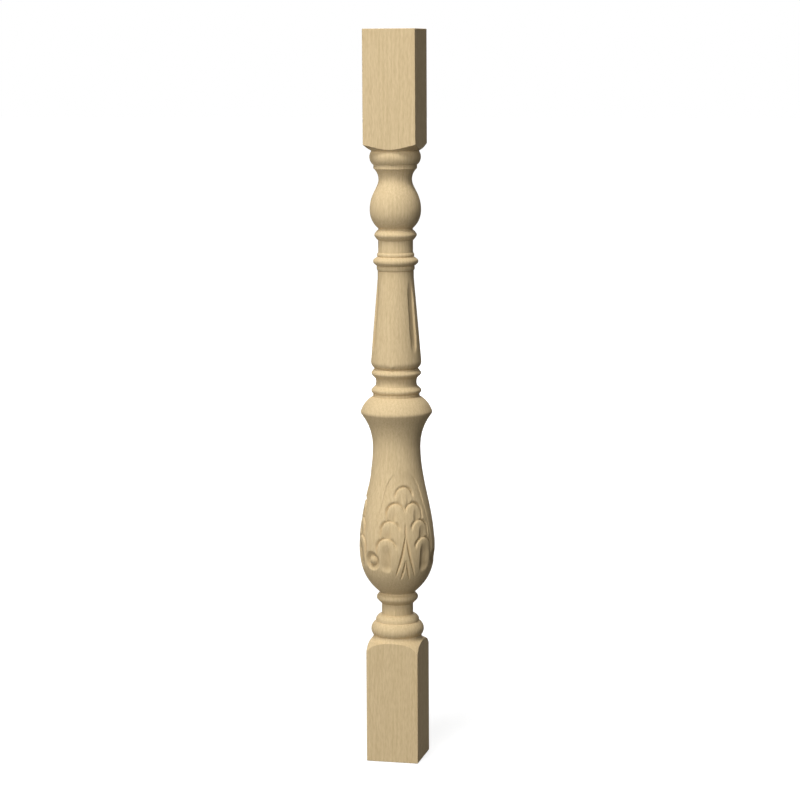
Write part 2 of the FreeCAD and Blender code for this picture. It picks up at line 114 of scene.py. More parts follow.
def add_shoulder(slope, inward):
    """Rings of a turned shoulder, from the stock's faces in to the seat of the turning or back out."""
    turns = square_columns()
    faces = square_radius(turns)
    seat = slope[:, 0].min()
    for share in np.linspace(0, 1, SHOULDER_ROWS):
        radii = faces + (seat - faces) * (share if inward else 1 - share)
        add_ring(turns, radii, np.interp(radii, slope[:, 0], slope[:, 1]))


stock_turns = square_columns()
corner_radius = STOCK_SIDE / math.sqrt(2)
z_foot_round = FOOT_FLAT_LENGTH + FOOT_ROUND_RISE
z_foot_seat = z_foot_round + FOOT_HOLLOW_RISE
add_ring(stock_turns, square_radius(stock_turns, END_EASING), 0.0)
add_ring(stock_turns, square_radius(stock_turns), END_EASING)
foot_corner = (corner_radius, FOOT_FLAT_LENGTH)
foot_break = (FOOT_HOLLOW_RADIUS, z_foot_round)
foot_slope = np.vstack([foot_corner, bulged_arc(foot_corner, foot_break, FOOT_ROUND_BULGE),
                        bulged_arc(foot_break, (FOOT_SEAT_RADIUS, z_foot_seat), -FOOT_HOLLOW_DEPTH)])
add_shoulder(foot_slope[::-1], inward=True)

# The lower turning.
# Turned on the lathe between the foot and the vase: a torus, a cap with an upright band and a rounded top,
# a short neck, and a ring with the nearly flat flanks of a skew chisel. The creases between them are crisp.
TURNED_COLUMNS = 108
TORUS_RADIUS = 32.6 * mm
TORUS_CREST_RISE = 8.2 * mm
TORUS_HEIGHT = 17.2 * mm
TORUS_TOP_RADIUS = 27.1 * mm
CAP_RADIUS = 26.7 * mm
CAP_BAND_HEIGHT = 3.2 * mm
CAP_ROUND_HEIGHT = 5.9 * mm
CAP_ROUND_BULGE = 1.4 * mm
LOWER_NECK_RADIUS = 19.4 * mm
LOWER_NECK_LENGTH = 13.6 * mm
RING_RADIUS = 25.6 * mm
RING_UNDER_HEIGHT = 5.6 * mm
RING_CREST_HEIGHT = 4.4 * mm
RING_HEIGHT = 13.3 * mm
RING_TOP_RADIUS = 22 * mm
RING_CREASE_HEIGHT = 1.4 * mm

turned_turns = np.linspace(-math.pi / 4, 7 * math.pi / 4, TURNED_COLUMNS, endpoint=False)


class TurnedOutline:
    """Half section of a turned stretch: the radius and height of each row, from its foot up."""

    ROW_SPACING = 2.5 * mm
    FLANK_BULGE = 0.2 * mm
    CREST_ROUND = 0.12

    def __init__(self, radius, height):
        self.rows = [(radius, height)]

    @property
    def height(self):
        return self.rows[-1][1]

    def add(self, points):
        self.rows.extend((float(radius), float(height)) for radius, height in points)

    def step(self, radius):
        self.add([(radius, self.height)])

    def rise(self, length):
        self.add([(self.rows[-1][0], self.height + length)])

    def slope(self, radius, length):
        start = self.rows[-1]
        steps = max(1, round(length / self.ROW_SPACING))
        shares = np.linspace(0, 1, steps + 1)[1:, None]
        self.add(np.add(start, shares * np.subtract((radius, start[1] + length), start)))

    def bead(self, crest_radius, crest_rise, radius, length):
        crest = (crest_radius, self.height + crest_rise)
        self.add(three_point_arc(self.rows[-1], crest, (radius, self.height + length)))

    def bulged(self, radius, length, bulge):
        self.add(bulged_arc(self.rows[-1], (radius, self.height + length), bulge))

    def flanked_bead(self, crest_radius, under_height, crest_height, radius, length):
        """Bead with nearly flat flanks, cut with a skew chisel, that meet in a narrow rounded crest."""
        flank_end = crest_radius - self.CREST_ROUND * crest_height
        self.bulged(flank_end, under_height, self.FLANK_BULGE)
        self.bead(crest_radius, crest_height / 2, flank_end, crest_height)
        self.bulged(radius, length - under_height - crest_height, self.FLANK_BULGE)

    def cove(self, radius, length):
        """Hollow arc that leaves the neck upright and flares to the radius."""
        neck, height = self.rows[-1]
        sweep = ((radius - neck) ** 2 + length ** 2) / (2 * (radius - neck))
        half_turn = math.asin(length / sweep) / 2
        via = (neck + sweep * (1 - math.cos(half_turn)), height + sweep * math.sin(half_turn))
        self.add(three_point_arc(self.rows[-1], via, (radius, height + length)))

    def curve(self, radius, length, leave, arrive):
        """Curve whose ends run on along the leave and arrive pulls, each given as (outwards, up)."""
        start = np.array(self.rows[-1])
        end = np.array((radius, self.height + length))
        t = np.linspace(0, 1, max(8, round(length / self.ROW_SPACING)) + 1)[1:, None]
        self.add((1 - t) ** 3 * start + 3 * t * (1 - t) ** 2 * (start + leave)
                 + 3 * t ** 2 * (1 - t) * (end - arrive) + t ** 3 * end)

    def turn(self):
        """Adds a ring of the baluster for each row."""
        for radius, height in self.rows:
            add_ring(turned_turns, radius, height)


lower_turning = TurnedOutline(FOOT_SEAT_RADIUS, z_foot_seat)
lower_turning.bead(TORUS_RADIUS, TORUS_CREST_RISE, TORUS_TOP_RADIUS, TORUS_HEIGHT)
lower_turning.step(CAP_RADIUS)
lower_turning.rise(CAP_BAND_HEIGHT)
lower_turning.bulged(LOWER_NECK_RADIUS, CAP_ROUND_HEIGHT, CAP_ROUND_BULGE)
lower_turning.rise(LOWER_NECK_LENGTH)
lower_turning.flanked_bead(RING_RADIUS, RING_UNDER_HEIGHT, RING_CREST_HEIGHT, RING_TOP_RADIUS, RING_HEIGHT)
lower_turning.rise(RING_CREASE_HEIGHT)
rings.pop()  # the turning's first row takes the place of the shoulder's last
lower_turning.turn()

# The carved vase.
# A bowl that swells from the ring to the belly and draws in by an ogee to the neck, turned first.
# Three leaves were then cut into it with gouges: overlapping lobes with scooped hollows, a midrib with
# branching grooves, a sunk pointed field round each leaf, and a beaded eye between each two.
BELLY_RADIUS = 46.57 * mm
BOWL_HEIGHT = 58.4 * mm
BOWL_LEAVE = (13.5 * mm, 11.7 * mm)
BOWL_ARRIVE = (0.0, 33.4 * mm)
VASE_NECK_RADIUS = 29.3 * mm
VASE_OGEE_HEIGHT = 124.3 * mm
OGEE_LEAVE = (0.0, 43.4 * mm)
OGEE_ARRIVE = (0.0, 45.6 * mm)
CARVING_FOOT = 17.0 * mm
CARVING_TOP = 160.0 * mm
CARVED_ROWS = 150
LEAF_COUNT = 3
LEAF_COLUMNS = 140
FINE_STEPS = 3
LEAF_TURN = 27.0
FIELD_DEPTH = 1.0 * mm
FIELD_WALL = 0.7 * mm
FIELD_FADE = 7.0 * mm
FIELD_MIDDLE_SHARE = 0.4
FIELD_LOW_SHARE = 0.6
FIELD_EDGE_RISES = np.array([52, 105, 115, 127, 137, 145, 151, 155]) * mm
FIELD_EDGE_TURNS = np.radians([54, 46, 42.5, 40, 36, 30, 22, 11])
FIELD_RISE = (95.0 * mm, 125.0 * mm)
FIELD_TOP_FADE = 12.0 * mm
STOP_CUT_DEPTH = 2.2 * mm
NOTCH_DEPTH = 3.2 * mm
STOP_CUT_WIDTH = 4.2 * mm
# Bearings from the top of a lobe's dome, outwards, between which a cut along its edge comes in or runs out.
STOP_CUT_INNER_END = np.radians([-100, -60])
STOP_CUT_OUTER_END = np.radians([160, 120])
TOP_LOBE_CUT_ENDS = np.radians([105, 75])
NOTCH_INNER_END = np.radians([-30, 40])
NOTCH_OUTER_END = np.radians([120, 70])
RIM_DROP = 0.6 * mm
RIM_WIDTH = 3.2 * mm
HOLLOW_INNER_SHARE = 0.3
HOLLOW_TOP_END = 16.0 * mm
HOLLOW_FOOT_END = 10.0 * mm
HOLLOW_RUN_OUT = 1.5
GROOVE_SLOPE = 1.25
GROOVE_POINT = 1.2
EYE_TURN = 63.5
EYE_RISE = 45 * mm
EYE_RADIUS = 17 * mm
EYE_DEPTH = 5.0 * mm
EYE_BEAD_RADIUS = 8.6 * mm
EYE_BEAD_SINK = 0.4 * mm

Lobe = namedtuple(
    "Lobe", "turn crest half_width hollow_turn hollow_width hollow_top hollow_foot hollow_depth")
LOBES = (
    Lobe(0.0, 135.0 * mm, 10.3 * mm, 6.5, 7.0 * mm, 113.0 * mm, 113.0 * mm, 1.1 * mm),
    Lobe(16.7, 115.5 * mm, 10.2 * mm, 19.8, 14.0 * mm, 95.0 * mm, 88.0 * mm, 1.9 * mm),
    Lobe(25.7, 94.5 * mm, 11.0 * mm, 27.6, 16.0 * mm, 73.5 * mm, 68.0 * mm, 2.2 * mm),
    Lobe(31.5, 73.0 * mm, 12.0 * mm, 28.8, 17.5 * mm, 51.5 * mm, 40.5 * mm, 2.6 * mm),
)
Groove = namedtuple("Groove", "width top_turn top mid_turn mid foot_turn foot")
GROOVES = (
    Groove(3.2 * mm, 0.0, 93.0 * mm, 0.0, 81.0 * mm, 0.0, 68.0 * mm),
    Groove(4.2 * mm, 0.6, 79.0 * mm, 6.8, 50.5 * mm, 17.0, 25.5 * mm),
    Groove(3.6 * mm, 0.6, 47.5 * mm, 3.4, 34.5 * mm, 8.2, 21.5 * mm),
)

vase = TurnedOutline(RING_TOP_RADIUS, lower_turning.height)
vase.curve(BELLY_RADIUS, BOWL_HEIGHT, BOWL_LEAVE, BOWL_ARRIVE)
vase.curve(VASE_NECK_RADIUS, VASE_OGEE_HEIGHT, OGEE_LEAVE, OGEE_ARRIVE)
z_vase = lower_turning.height
vase_radii, vase_heights = np.array(vase.rows).T


def vase_radius(rise):
    return np.interp(rise, vase_heights - z_vase, vase_radii)


def square_on(turn, rise, middle):
    """Distance across from a line at the middle angle, seen square on to the vase there."""
    return vase_radius(rise) * np.sin(np.clip(turn - middle, -math.pi / 2, math.pi / 2))


def ease(value, start, end):
    """Smooth step from 0 at start to 1 at end."""
    share = np.clip((value - start) / (end - start), 0, 1)
    return share * share * (3 - 2 * share)


def round_cut(distance, cutter_radius, depth):
    """Depth of a cut with a round-nosed tool, at a distance from the middle of its stroke."""
    return np.sqrt(np.maximum(cutter_radius ** 2 - distance ** 2, 0)) - (cutter_radius - depth)


def sunk_field(turn, rise):
    """Pointed field round the leaf, deepest along its edge."""
    inside = (np.interp(rise, FIELD_EDGE_RISES, FIELD_EDGE_TURNS) - np.abs(turn)) * vase_radius(rise)
    wall = np.clip(inside / FIELD_WALL, 0, 1)
    level = FIELD_MIDDLE_SHARE + (1 - FIELD_MIDDLE_SHARE) * np.exp(-np.maximum(inside, 0) / FIELD_FADE)
    level = level * (FIELD_LOW_SHARE + (1 - FIELD_LOW_SHARE) * ease(rise, *FIELD_RISE))
    ends = ease(rise, FIELD_EDGE_RISES[-1], FIELD_EDGE_RISES[-1] - FIELD_TOP_FADE)
    ends = ends * ease(rise, FIELD_EDGE_RISES[0] - FIELD_FADE, FIELD_EDGE_RISES[0])
    return FIELD_DEPTH * wall * level * ends


def carve_tier(depth, turn, rise, lobe):
    """One tier of lobes laid over the work above it: stop cuts first, then the lobes with their hollows."""
    sides = (1, -1) if lobe.turn else (1,)
    shapes = []
    for side in sides:
        outward = side * square_on(turn, rise, side * math.radians(lobe.turn))
        up = rise - lobe.crest + lobe.half_width
        outside = np.hypot(outward, np.maximum(up, 0)) - lobe.half_width
        bearing = np.arctan2(outward, up)
        if lobe.turn:
            shown = ease(bearing, *STOP_CUT_INNER_END) * ease(bearing, *STOP_CUT_OUTER_END)
        else:
            shown = ease(np.abs(bearing), *TOP_LOBE_CUT_ENDS)
        shapes.append((outside, shown))
        notch = ease(bearing, *NOTCH_INNER_END) * ease(bearing, *NOTCH_OUTER_END)
        deepest = STOP_CUT_DEPTH + (NOTCH_DEPTH - STOP_CUT_DEPTH) * notch
        cut = deepest * np.clip(1 - outside / STOP_CUT_WIDTH, 0, 1) * shown
        depth = np.where(outside > 0, np.maximum(depth, cut), depth)
    for outside, shown in shapes:
        rim = RIM_DROP * np.clip(1 + outside / RIM_WIDTH, 0, 1) ** 2 * shown
        depth = np.where(outside <= 0, rim, depth)
    within = np.min([outside for outside, _ in shapes], axis=0)
    for side in (1, -1):
        across = side * square_on(turn, rise, side * math.radians(lobe.hollow_turn))
        reach = lobe.hollow_width * np.where(across < 0, HOLLOW_INNER_SHARE, 1 - HOLLOW_INNER_SHARE)
        past_top = (rise - lobe.hollow_top) / HOLLOW_TOP_END
        past_foot = (lobe.hollow_foot - rise) / HOLLOW_FOOT_END
        along = np.maximum(np.maximum(past_top, past_foot), 0)
        level = np.maximum(1 - (across / reach) ** 2 - along ** 2, 0)
        hollow = lobe.hollow_depth * level ** HOLLOW_RUN_OUT
        depth = np.where(within <= 0, np.maximum(depth, hollow), depth)
    return depth


def groove(turn, rise, blade, side):
    """V-shaped cut along a curved line, pointed at both ends."""
    heights = np.array([blade.foot, blade.mid, blade.top])
    turns = np.radians([blade.foot_turn, blade.mid_turn, blade.top_turn])
    line = np.polyval(np.polyfit(heights, turns, 2), rise)
    share = np.clip((rise - blade.foot) / (blade.top - blade.foot), 0, 1)
    half = blade.width / 2 * np.sqrt(np.maximum(4 * share * (1 - share), 0)) ** GROOVE_POINT
    return GROOVE_SLOPE * np.maximum(half - np.abs(square_on(turn, rise, side * line)), 0)


def leaf_relief(turn, rise):
    """Depth of carving at angles from the leaf's middle and heights above the vase's foot."""
    depth = sunk_field(turn, rise)
    for lobe in LOBES:
        depth = carve_tier(depth, turn, rise, lobe)
    for blade in GROOVES:
        for side in ((1, -1) if blade.foot_turn else (1,)):
            depth = np.maximum(depth, groove(turn, rise, blade, side))
    for eye_turn in (EYE_TURN, EYE_TURN - 360 / LEAF_COUNT):
        off_eye = np.hypot(square_on(turn, rise, math.radians(eye_turn)), rise - EYE_RISE)
        hollow = round_cut(off_eye, EYE_RADIUS, EYE_DEPTH)
        bead = EYE_BEAD_SINK + EYE_BEAD_RADIUS - np.sqrt(np.maximum(EYE_BEAD_RADIUS ** 2 - off_eye ** 2, 0))
        depth = np.maximum(depth, np.minimum(hollow, bead))
    return depth


sector = math.tau / LEAF_COUNT
fine_turn = ((np.arange(LEAF_COLUMNS * FINE_STEPS) + 0.5) / (LEAF_COLUMNS * FINE_STEPS) - 0.5) * sector
fine_share = (np.arange(CARVED_ROWS * FINE_STEPS) + 0.5) / (CARVED_ROWS * FINE_STEPS)
fine_rise = CARVING_FOOT + (CARVING_TOP - CARVING_FOOT) * fine_share
relief = leaf_relief(fine_turn[None, :], fine_rise[:, None])
relief = relief.reshape(CARVED_ROWS, FINE_STEPS, LEAF_COLUMNS, FINE_STEPS).mean(axis=(1, 3))
carved_rise = fine_rise.reshape(CARVED_ROWS, FINE_STEPS).mean(axis=1)
leaf_turns = fine_turn.reshape(LEAF_COLUMNS, FINE_STEPS).mean(axis=1) + math.radians(LEAF_TURN)
vase_turns = np.concatenate([leaf_turns + leaf * sector for leaf in range(LEAF_COUNT)])

for radius, height in vase.rows[1:]:
    if height < z_vase + CARVING_FOOT:
        add_ring(turned_turns, radius, height)
for rise, cuts in zip(carved_rise, np.tile(relief, LEAF_COUNT)):
    add_ring(vase_turns, vase_radius(rise) - cuts, z_vase + rise, cuts)
for radius, height in vase.rows:
    if height > z_vase + CARVING_TOP:
        add_ring(turned_turns, radius, height)

# The collar and the two beads over it.
# The collar flares from the vase's neck to a thin nose and rounds in again under a pair of beads.
# All were turned with the vase, the cove with a gouge and the narrow-crested beads with a skew chisel.
COLLAR_COVE_HEIGHT = 40.1 * mm
COLLAR_EDGE_RADIUS = 43.4 * mm
COLLAR_NOSE_RADIUS = 43.9 * mm
COLLAR_NOSE_HEIGHT = 4.4 * mm
COLLAR_TOP_RADIUS = 29.4 * mm
COLLAR_TOP_HEIGHT = 16.7 * mm
COLLAR_TOP_BULGE = 1.9 * mm
PAIR_SEAT_RADIUS = 28.6 * mm
PAIR_SEAT_HEIGHT = 3.8 * mm
PAIR_CREST_HEIGHT = 2.8 * mm
LOWER_BEAD_RADIUS = 30.7 * mm
LOWER_BEAD_UNDER_HEIGHT = 2.4 * mm
LOWER_BEAD_HEIGHT = 9.4 * mm
PAIR_HOLLOW_RADIUS = 25.9 * mm
PAIR_HOLLOW_WAIST = 24.9 * mm
PAIR_HOLLOW_HEIGHT = 9.9 * mm
UPPER_BEAD_RADIUS = 30.5 * mm
UPPER_BEAD_UNDER_HEIGHT = 4.4 * mm
UPPER_BEAD_HEIGHT = 11.7 * mm
UPPER_BEAD_TOP_RADIUS = 26.3 * mm

collar = TurnedOutline(*vase.rows[-1])
collar.cove(COLLAR_EDGE_RADIUS, COLLAR_COVE_HEIGHT)
collar.bead(COLLAR_NOSE_RADIUS, COLLAR_NOSE_HEIGHT / 2, COLLAR_EDGE_RADIUS, COLLAR_NOSE_HEIGHT)
collar.bulged(COLLAR_TOP_RADIUS, COLLAR_TOP_HEIGHT, COLLAR_TOP_BULGE)
collar.step(PAIR_SEAT_RADIUS)
collar.rise(PAIR_SEAT_HEIGHT)
collar.flanked_bead(LOWER_BEAD_RADIUS, LOWER_BEAD_UNDER_HEIGHT, PAIR_CREST_HEIGHT,
                    PAIR_HOLLOW_RADIUS, LOWER_BEAD_HEIGHT)
collar.bead(PAIR_HOLLOW_WAIST, PAIR_HOLLOW_HEIGHT / 2, PAIR_HOLLOW_RADIUS, PAIR_HOLLOW_HEIGHT)
collar.flanked_bead(UPPER_BEAD_RADIUS, UPPER_BEAD_UNDER_HEIGHT, PAIR_CREST_HEIGHT,
                    UPPER_BEAD_TOP_RADIUS, UPPER_BEAD_HEIGHT)
rings.pop()
collar.turn()

# The fluted taper.
# A plain turned taper with a rounded foot. Three shallow flutes were run down it with a round-nosed gouge
# that went in slowly at the top, and midway between each two a small pointed tip hangs over the bead below.
TAPER_FOOT_RADIUS = 31 * mm
TAPER_FOOT_HEIGHT = 7.5 * mm
TAPER_FOOT_BULGE = 1 * mm
TAPER_LENGTH = 103.2 * mm
TAPER_TOP_RADIUS = 22.1 * mm
TAPER_CREASE_HEIGHT = 8.3 * mm
TAPER_COLUMNS = 240
FLUTE_COUNT = 3
FLUTE_TURN = 62.0
FLUTE_FOOT_RISE = 13 * mm
FLUTE_LENGTH = 87 * mm
FLUTE_DEPTH = 2.3 * mm
FLUTE_HALF_WIDTH = 5.4 * mm
FLUTE_FOOT_END = 16.0 * mm
FLUTE_TOP_END = 30.0 * mm
FLUTE_SQUARENESS = 6
TIP_LENGTH = 6.0 * mm
TIP_HALF_WIDTH = 5.0 * mm
TIP_PROUD = 1.3 * mm
TIP_FADE = (1.6 * TIP_LENGTH, 0.8 * TIP_LENGTH)
NARROWEST = 0.1 * mm

taper = TurnedOutline(*collar.rows[-1])
taper.bulged(TAPER_FOOT_RADIUS, TAPER_FOOT_HEIGHT, TAPER_FOOT_BULGE)
taper.slope(TAPER_TOP_RADIUS, TAPER_LENGTH)
taper.rise(TAPER_CREASE_HEIGHT)
z_taper = collar.height
taper_turns = np.linspace(-math.pi / 4, 7 * math.pi / 4, TAPER_COLUMNS, endpoint=False)
flute_pitch = math.tau / FLUTE_COUNT
past_flute = taper_turns - math.radians(FLUTE_TURN)
off_flute = np.remainder(past_flute + flute_pitch / 2, flute_pitch) - flute_pitch / 2
off_tip = np.remainder(past_flute, flute_pitch) - flute_pitch / 2


def flute_cut(radius, height):
    """Depth of the flutes round one ring of the taper."""
    rise = height - z_taper - TAPER_FOOT_HEIGHT - FLUTE_FOOT_RISE
    past_straight = max(1 - rise / FLUTE_FOOT_END, 1 - (FLUTE_LENGTH - rise) / FLUTE_TOP_END, 0)
    across = np.abs(radius * np.sin(off_flute))
    half = FLUTE_HALF_WIDTH * math.sqrt(max(1 - past_straight ** 2, 0))
    depth = FLUTE_DEPTH * max(1 - past_straight ** 2, 0)
    cut = depth * np.maximum(1 - (across / max(half, NARROWEST)) ** FLUTE_SQUARENESS, 0)
    return np.where(np.abs(off_flute) < math.pi / 4, cut, 0)


def tip_swell(radius, height):
    """How far the pointed tips stand out from one ring of the taper's foot."""
    rise = height - z_taper
    half = TIP_HALF_WIDTH * np.clip(rise / TIP_LENGTH, 0, 1)
    across = np.abs(radius * np.sin(off_tip))
    ridge = TIP_PROUD * np.maximum(1 - across / max(half, NARROWEST), 0)
    return ridge * ease(rise, *TIP_FADE)


for radius, height in taper.rows[1:]:
    cuts = flute_cut(radius, height)
    radii = radius - cuts + tip_swell(radius, height)
    add_ring(taper_turns, np.minimum(radii, TAPER_FOOT_RADIUS), height, cuts)

# The upper turning.
# A rounded fillet, a bead and a rounded step over the taper, a neck and its bead, the ball on a short seat
# with its ogee, and the members that carry the head: a cove, a fillet and a large bead. All were turned.
FILLET_FOOT_RADIUS = 21.6 * mm
FILLET_RADIUS = 23.2 * mm
FILLET_TOP_RADIUS = 22.9 * mm
FILLET_HEIGHT = 6.5 * mm
NECK_BEAD_RADIUS = 27.6 * mm
NECK_BEAD_UNDER_HEIGHT = 3.6 * mm
NECK_BEAD_CREST_HEIGHT = 4 * mm
NECK_BEAD_HEIGHT = 11.2 * mm
STEP_FOOT_RADIUS = 22.1 * mm
STEP_RADIUS = 22.8 * mm
STEP_HEIGHT = 5.1 * mm
UPPER_NECK_RADIUS = 21.3 * mm
UPPER_NECK_LENGTH = 14.6 * mm
BALL_BEAD_RADIUS = 25.9 * mm
BALL_BEAD_UNDER_HEIGHT = 5.2 * mm
BALL_BEAD_CREST_HEIGHT = 3.2 * mm
BALL_BEAD_TOP_RADIUS = 22 * mm
BALL_BEAD_HEIGHT = 12.6 * mm
BALL_SEAT_RADIUS = 21.2 * mm
BALL_RADIUS = 31.3 * mm
BALL_SEAT_HEIGHT = 2.2 * mm
BALL_FOOT_HEIGHT = 22.6 * mm
BALL_LEAVE = (6.6 * mm, 5.6 * mm)
BALL_ARRIVE = (0.0, 9.0 * mm)
BALL_NECK_RADIUS = 20.4 * mm
BALL_OGEE_HEIGHT = 36.7 * mm
BALL_OGEE_LEAVE = (0.0, 19.5 * mm)
BALL_OGEE_ARRIVE = (0.0, 10.1 * mm)
TOP_COVE_RADIUS = 26.3 * mm
TOP_COVE_HEIGHT = 13.1 * mm
TOP_FILLET_RADIUS = 26.6 * mm
TOP_FILLET_HEIGHT = 5 * mm
TOP_BEAD_SEAT_RADIUS = 27.5 * mm
TOP_BEAD_RADIUS = 31.3 * mm
TOP_BEAD_CREST_RISE = 8.3 * mm
TOP_BEAD_HEIGHT = 16.3 * mm
HEAD_SEAT_RADIUS = 29 * mm

upper_turning = TurnedOutline(FILLET_FOOT_RADIUS, taper.height)
upper_turning.bead(FILLET_RADIUS, FILLET_HEIGHT / 2, FILLET_TOP_RADIUS, FILLET_HEIGHT)
upper_turning.flanked_bead(NECK_BEAD_RADIUS, NECK_BEAD_UNDER_HEIGHT, NECK_BEAD_CREST_HEIGHT,
                           STEP_FOOT_RADIUS, NECK_BEAD_HEIGHT)
upper_turning.bead(STEP_RADIUS, STEP_HEIGHT / 2, UPPER_NECK_RADIUS, STEP_HEIGHT)
upper_turning.rise(UPPER_NECK_LENGTH)
upper_turning.flanked_bead(BALL_BEAD_RADIUS, BALL_BEAD_UNDER_HEIGHT, BALL_BEAD_CREST_HEIGHT,
                           BALL_BEAD_TOP_RADIUS, BALL_BEAD_HEIGHT)
upper_turning.step(BALL_SEAT_RADIUS)
upper_turning.rise(BALL_SEAT_HEIGHT)
upper_turning.curve(BALL_RADIUS, BALL_FOOT_HEIGHT, BALL_LEAVE, BALL_ARRIVE)
upper_turning.curve(BALL_NECK_RADIUS, BALL_OGEE_HEIGHT, BALL_OGEE_LEAVE, BALL_OGEE_ARRIVE)
upper_turning.cove(TOP_COVE_RADIUS, TOP_COVE_HEIGHT)
upper_turning.step(TOP_FILLET_RADIUS)
upper_turning.rise(TOP_FILLET_HEIGHT)
upper_turning.step(TOP_BEAD_SEAT_RADIUS)
upper_turning.bead(TOP_BEAD_RADIUS, TOP_BEAD_CREST_RISE, HEAD_SEAT_RADIUS, TOP_BEAD_HEIGHT)
upper_turning.turn()

# The head.
# The top stretch of the square stock, planed and eased like the foot and sawn square at the end.
# The shoulder under it is turned too, nearly flat and a little hollow.
HEAD_FLAT_LENGTH = 137.8 * mm
HEAD_SHOULDER_RISE = 8.3 * mm
HEAD_SHOULDER_HOLLOW = 0.8 * mm

z_head = upper_turning.height
z_top = z_head + HEAD_SHOULDER_RISE + HEAD_FLAT_LENGTH
head_corner = (corner_radius, z_head + HEAD_SHOULDER_RISE)
head_slope = bulged_arc((HEAD_SEAT_RADIUS, z_head), head_corner, -HEAD_SHOULDER_HOLLOW)
head_slope = np.vstack([(HEAD_SEAT_RADIUS, z_head), head_slope])
rings.pop()
add_shoulder(head_slope, inward=False)
add_ring(stock_turns, square_radius(stock_turns), z_top - END_EASING)
add_ring(stock_turns, square_radius(stock_turns, END_EASING), z_top)

# The baluster in one piece.
# Foot, turning and head are one length of pale, straight-grained hardwood, sanded and left bare.
# Its fibres run along the axis. The cuts of the carving, which cross them, are a little darker the deeper
# they go: painted shade in the hollows, together with the darker cross grain the cuts lay bare.
SHARP_ANGLE = 32.0
EARLY_WOOD = (220, 197, 156)
LATE_WOOD = (208, 185, 143)
SHADED_WOOD = (206, 182, 138)
FIBRE_BROWN = (180, 154, 113)
PORE_BROWN = (156, 130, 92)
# Brown mixed into the cuts by their depth: painted shade in the carving's hollows, together with the darker
# cross grain of the cuts.
CUT_GRAIN_AND_SHADE = (166, 139, 98)
PITH_OFFSET = (0.16, 0.11, 0.0)
LOG_TILT = (math.radians(1.1), math.radians(-0.8), 0.0)


def wall_faces(low, high, low_first, high_first):
    """Faces between two rings: quads where their columns agree, or else triangles in order of angle."""
    count = len(low.turns)
    if count == len(high.turns) and np.allclose(low.turns, high.turns):
        after = np.roll(np.arange(count), -1)
        here = np.arange(count)
        corners = [low_first + here, low_first + after, high_first + after, high_first + here]
        return np.column_stack(corners).tolist()
    gaps = np.abs(np.remainder(high.turns - low.turns[0] + math.pi, math.tau) - math.pi)
    start = int(np.argmin(gaps))
    high_order = np.roll(np.arange(len(high.turns)), -start)
    low_turn = np.remainder(low.turns - low.turns[0], math.tau)
    high_turn = np.remainder(high.turns[high_order] - high.turns[start], math.tau)
    low_turn = np.append(low_turn, math.tau)
    high_turn = np.append(high_turn, math.tau)
    faces = []
    i = j = 0
    while i < count or j < len(high_order):
        low_here = low_first + i % count
        high_here = high_first + int(high_order[j % len(high_order)])
        if j == len(high_order) or (i < count and low_turn[i + 1] <= high_turn[j + 1]):
            faces.append([low_here, low_first + (i + 1) % count, high_here])
            i += 1
        else:
            faces.append([low_here, high_first + int(high_order[(j + 1) % len(high_order)]), high_here])
            j += 1
    return faces


def baluster_mesh():
    """One closed mesh through all the rings, flat at both ends."""
    firsts = np.cumsum([0] + [len(ring.turns) for ring in rings])
    points = np.concatenate([
        np.column_stack([ring.radii * np.sin(ring.turns), -ring.radii * np.cos(ring.turns), ring.heights])
        for ring in rings])
    faces = [list(range(len(rings[0].turns)))[::-1]]
    for index in range(len(rings) - 1):
        faces += wall_faces(rings[index], rings[index + 1], int(firsts[index]), int(firsts[index + 1]))
    faces.append(list(range(int(firsts[-2]), int(firsts[-1]))))
    mesh = bpy.data.meshes.new("carved_baluster")
    mesh.from_pydata(points.tolist(), [], faces)
    cut = mesh.attributes.new("cut_depth", "FLOAT", "POINT")
    cut.data.foreach_set("value", (np.concatenate([ring.cuts for ring in rings]) / mm).astype(np.float32))
    mesh.shade_smooth()
    mesh.set_sharp_from_angle(angle=math.radians(SHARP_ANGLE))
    return mesh


def linear(red, green, blue):
    """Colour given as it looks on screen, 0 to 255, for a shader socket."""
    shares = np.array([red, green, blue]) / 255
    return (*np.where(shares <= 0.04045, shares / 12.92, ((shares + 0.055) / 1.055) ** 2.4).tolist(), 1.0)


